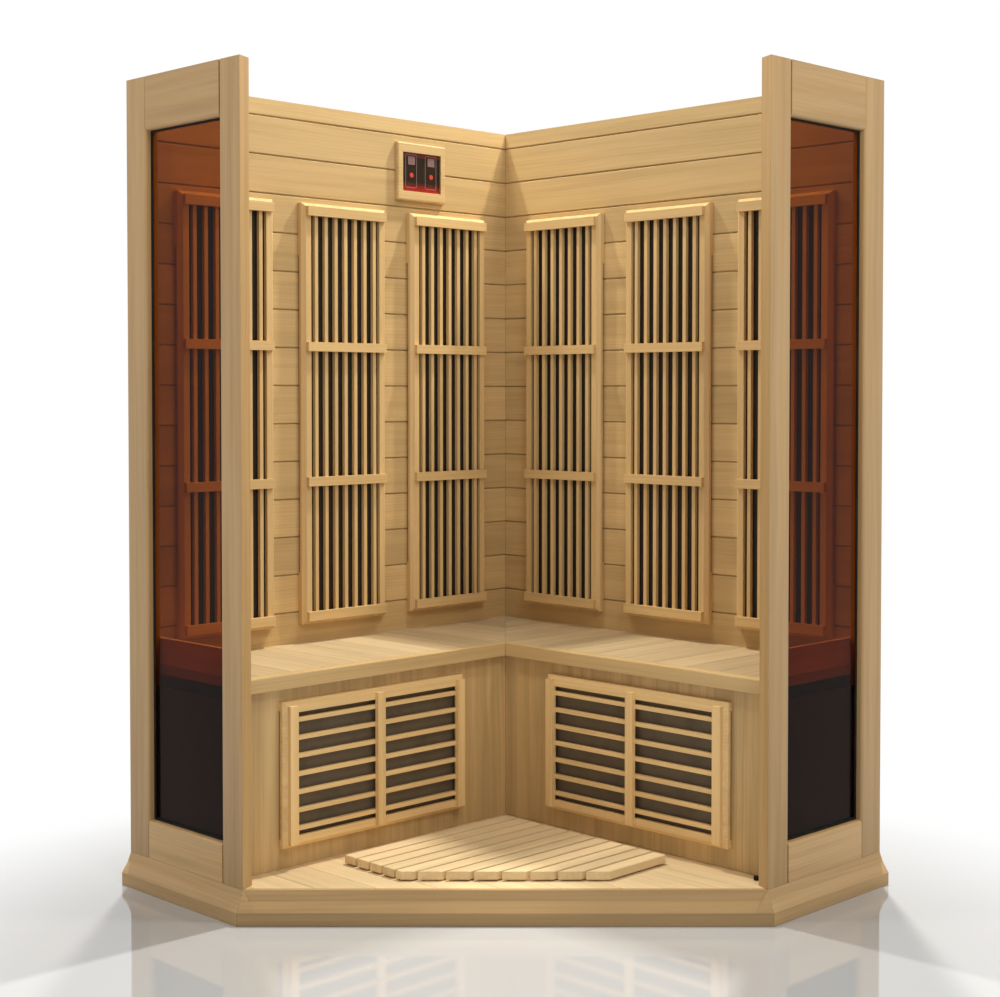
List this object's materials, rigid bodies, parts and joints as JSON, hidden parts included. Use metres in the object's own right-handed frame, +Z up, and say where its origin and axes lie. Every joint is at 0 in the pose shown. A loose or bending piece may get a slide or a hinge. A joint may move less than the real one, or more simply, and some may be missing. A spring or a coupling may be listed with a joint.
{
  "type": "infrared sauna cabin",
  "caption": "Corner sauna cabin, open at the front and top, with an L-shaped bench, slatted infrared heater guards, tinted side windows, push-button controls and a loose duckboard.",
  "frame": {"origin": "centre of the bounding box, on the ground", "axes": "+Z up; the open front faces -Y and the back corner points to +Y; the left wall as seen from the front is on -X"},
  "size_m": [1.7664, 1.1956, 1.846],
  "materials": {
    "pine": "planed pale softwood, unvarnished",
    "frame_pine": "planed pale softwood, satin",
    "rough_pine": "sawn softwood",
    "emitter": "matt dark brown carbon film",
    "calf_emitter": "matt grey-brown carbon film",
    "tinted_glass": "bronze tinted, polished",
    "black_panel": "matt black",
    "faceplate": "gloss black with a dark red band",
    "display": "smoked lens",
    "button": "satin red",
    "circuit_board": "solder mask",
    "plug": "matt black"
  },
  "bodies": {
    "cabin": {"base_bearers": "rough_pine", "bench_cleat_left": "rough_pine", "bench_cleat_right": "rough_pine", "bench_end_board_left": "pine", "bench_end_board_right": "pine", "bench_front_left": "pine", "bench_front_right": "pine", "bench_nosing_left": "pine", "bench_nosing_right": "pine", "bench_seat_left": "pine", "bench_seat_right": "pine", "calf_heater_left_emitter": "calf_emitter", "calf_heater_left_guard": "pine", "calf_heater_right_emitter": "calf_emitter", "calf_heater_right_guard": "pine", "control_bezel": "pine", "control_circuit_board": "circuit_board", "control_display_left": "display", "control_display_right": "display", "control_faceplate": "faceplate", "floor_deck": "pine", "floor_plug": "plug", "side_back_stile_left": "frame_pine", "side_back_stile_right": "frame_pine", "side_blackout_panel_left": "black_panel", "side_blackout_panel_right": "black_panel", "side_bottom_rail_left": "frame_pine", "side_bottom_rail_right": "frame_pine", "side_front_stile_left": "frame_pine", "side_front_stile_right": "frame_pine", "side_glass_left": "tinted_glass", "side_glass_right": "tinted_glass", "side_glazing_bead_left": "frame_pine", "side_glazing_bead_right": "frame_pine", "side_top_rail_left": "frame_pine", "side_top_rail_right": "frame_pine", "skirt_front": "frame_pine", "skirt_left": "frame_pine", "skirt_right": "frame_pine", "wall_cladding_left": "frame_pine", "wall_cladding_right": "frame_pine", "wall_heater_left_1_emitter": "emitter", "wall_heater_left_1_guard": "pine", "wall_heater_left_2_emitter": "emitter", "wall_heater_left_2_guard": "pine", "wall_heater_left_3_emitter": "emitter", "wall_heater_left_3_guard": "pine", "wall_heater_right_1_emitter": "emitter", "wall_heater_right_1_guard": "pine", "wall_heater_right_2_emitter": "emitter", "wall_heater_right_2_guard": "pine", "wall_heater_right_3_emitter": "emitter", "wall_heater_right_3_guard": "pine", "wall_lining_left": "pine", "wall_lining_right": "pine", "wall_studs_left": "rough_pine", "wall_studs_right": "rough_pine"},
    "duckboard": {"duckboard": "pine"},
    "button_left": {"control_button_left": "button"},
    "button_right": {"control_button_right": "button"}
  },
  "joints": [
    {"name": "duckboard_slide", "type": "slide", "parent": "cabin", "child": "duckboard", "axis": [0, -1, 0], "range_m": [0, 0.35]},
    {"name": "left_button_press", "type": "slide", "parent": "cabin", "child": "button_left", "axis": [-0.7071, 0.7071, 0], "range_m": [0, 0.001], "stiffness_N_per_m": 1500},
    {"name": "right_button_press", "type": "slide", "parent": "cabin", "child": "button_right", "axis": [-0.7071, 0.7071, 0], "range_m": [0, 0.001], "stiffness_N_per_m": 1500}
  ]
}
